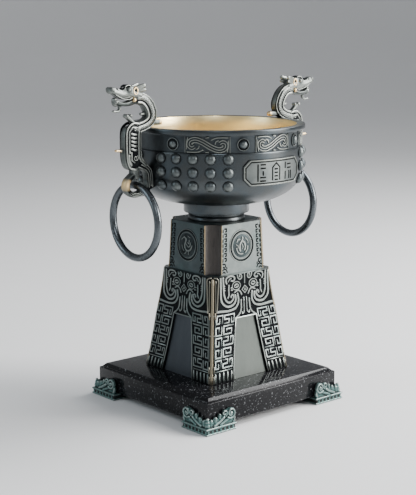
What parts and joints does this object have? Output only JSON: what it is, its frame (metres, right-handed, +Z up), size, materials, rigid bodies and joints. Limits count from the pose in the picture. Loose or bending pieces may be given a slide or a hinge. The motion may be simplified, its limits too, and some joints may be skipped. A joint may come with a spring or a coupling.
{
  "type": "bronze bowl with dragon handles on a pedestal",
  "caption": "Footed bronze bowl with dragon handles and hanging rings, on a tall mask-carved square pedestal with a black granite base and leafy corner feet.",
  "frame": {"origin": "on the floor under the bowl's axis, midway between the four feet", "axes": "+Z up; -Y is the front, where the name plate looks; the two handles stand on the X axis"},
  "size_m": [0.3134, 0.2132, 0.3775],
  "materials": {
    "granite": "polished black granite with pale specks",
    "foot_bronze": "cast bronze, blue-green patina in the recesses, rubbed pale on the highs",
    "pedestal_bronze": "cast bronze, dark gunmetal patina, black recesses, tan rubbed edges",
    "bowl_bronze": "cast bronze, dark satin outside, satin gold inside",
    "handle_bronze": "cast bronze, dark grooves, pale and golden rubbed highs",
    "ring_bronze": "polished dark steel-blue metal"
  },
  "bodies": {
    "vessel": {"granite_base": "granite", "corner_foot_front_right": "foot_bronze", "corner_foot_back_right": "foot_bronze", "corner_foot_back_left": "foot_bronze", "corner_foot_front_left": "foot_bronze", "pedestal": "pedestal_bronze", "bowl": "bowl_bronze", "dragon_handle_right": "handle_bronze", "dragon_handle_left": "handle_bronze"},
    "right_ring": {"ring_right": "ring_bronze"},
    "left_ring": {"ring_left": "ring_bronze"}
  },
  "joints": [
    {"name": "ring_right_swing", "type": "hinge", "parent": "vessel", "child": "right_ring", "pos_m": [0.1195, 0, 0.266], "axis": [0, -1, 0], "range_deg": [-58, 145]},
    {"name": "ring_left_swing", "type": "hinge", "parent": "vessel", "child": "left_ring", "pos_m": [-0.1195, 0, 0.266], "axis": [0, 1, 0], "range_deg": [-58, 145]}
  ]
}
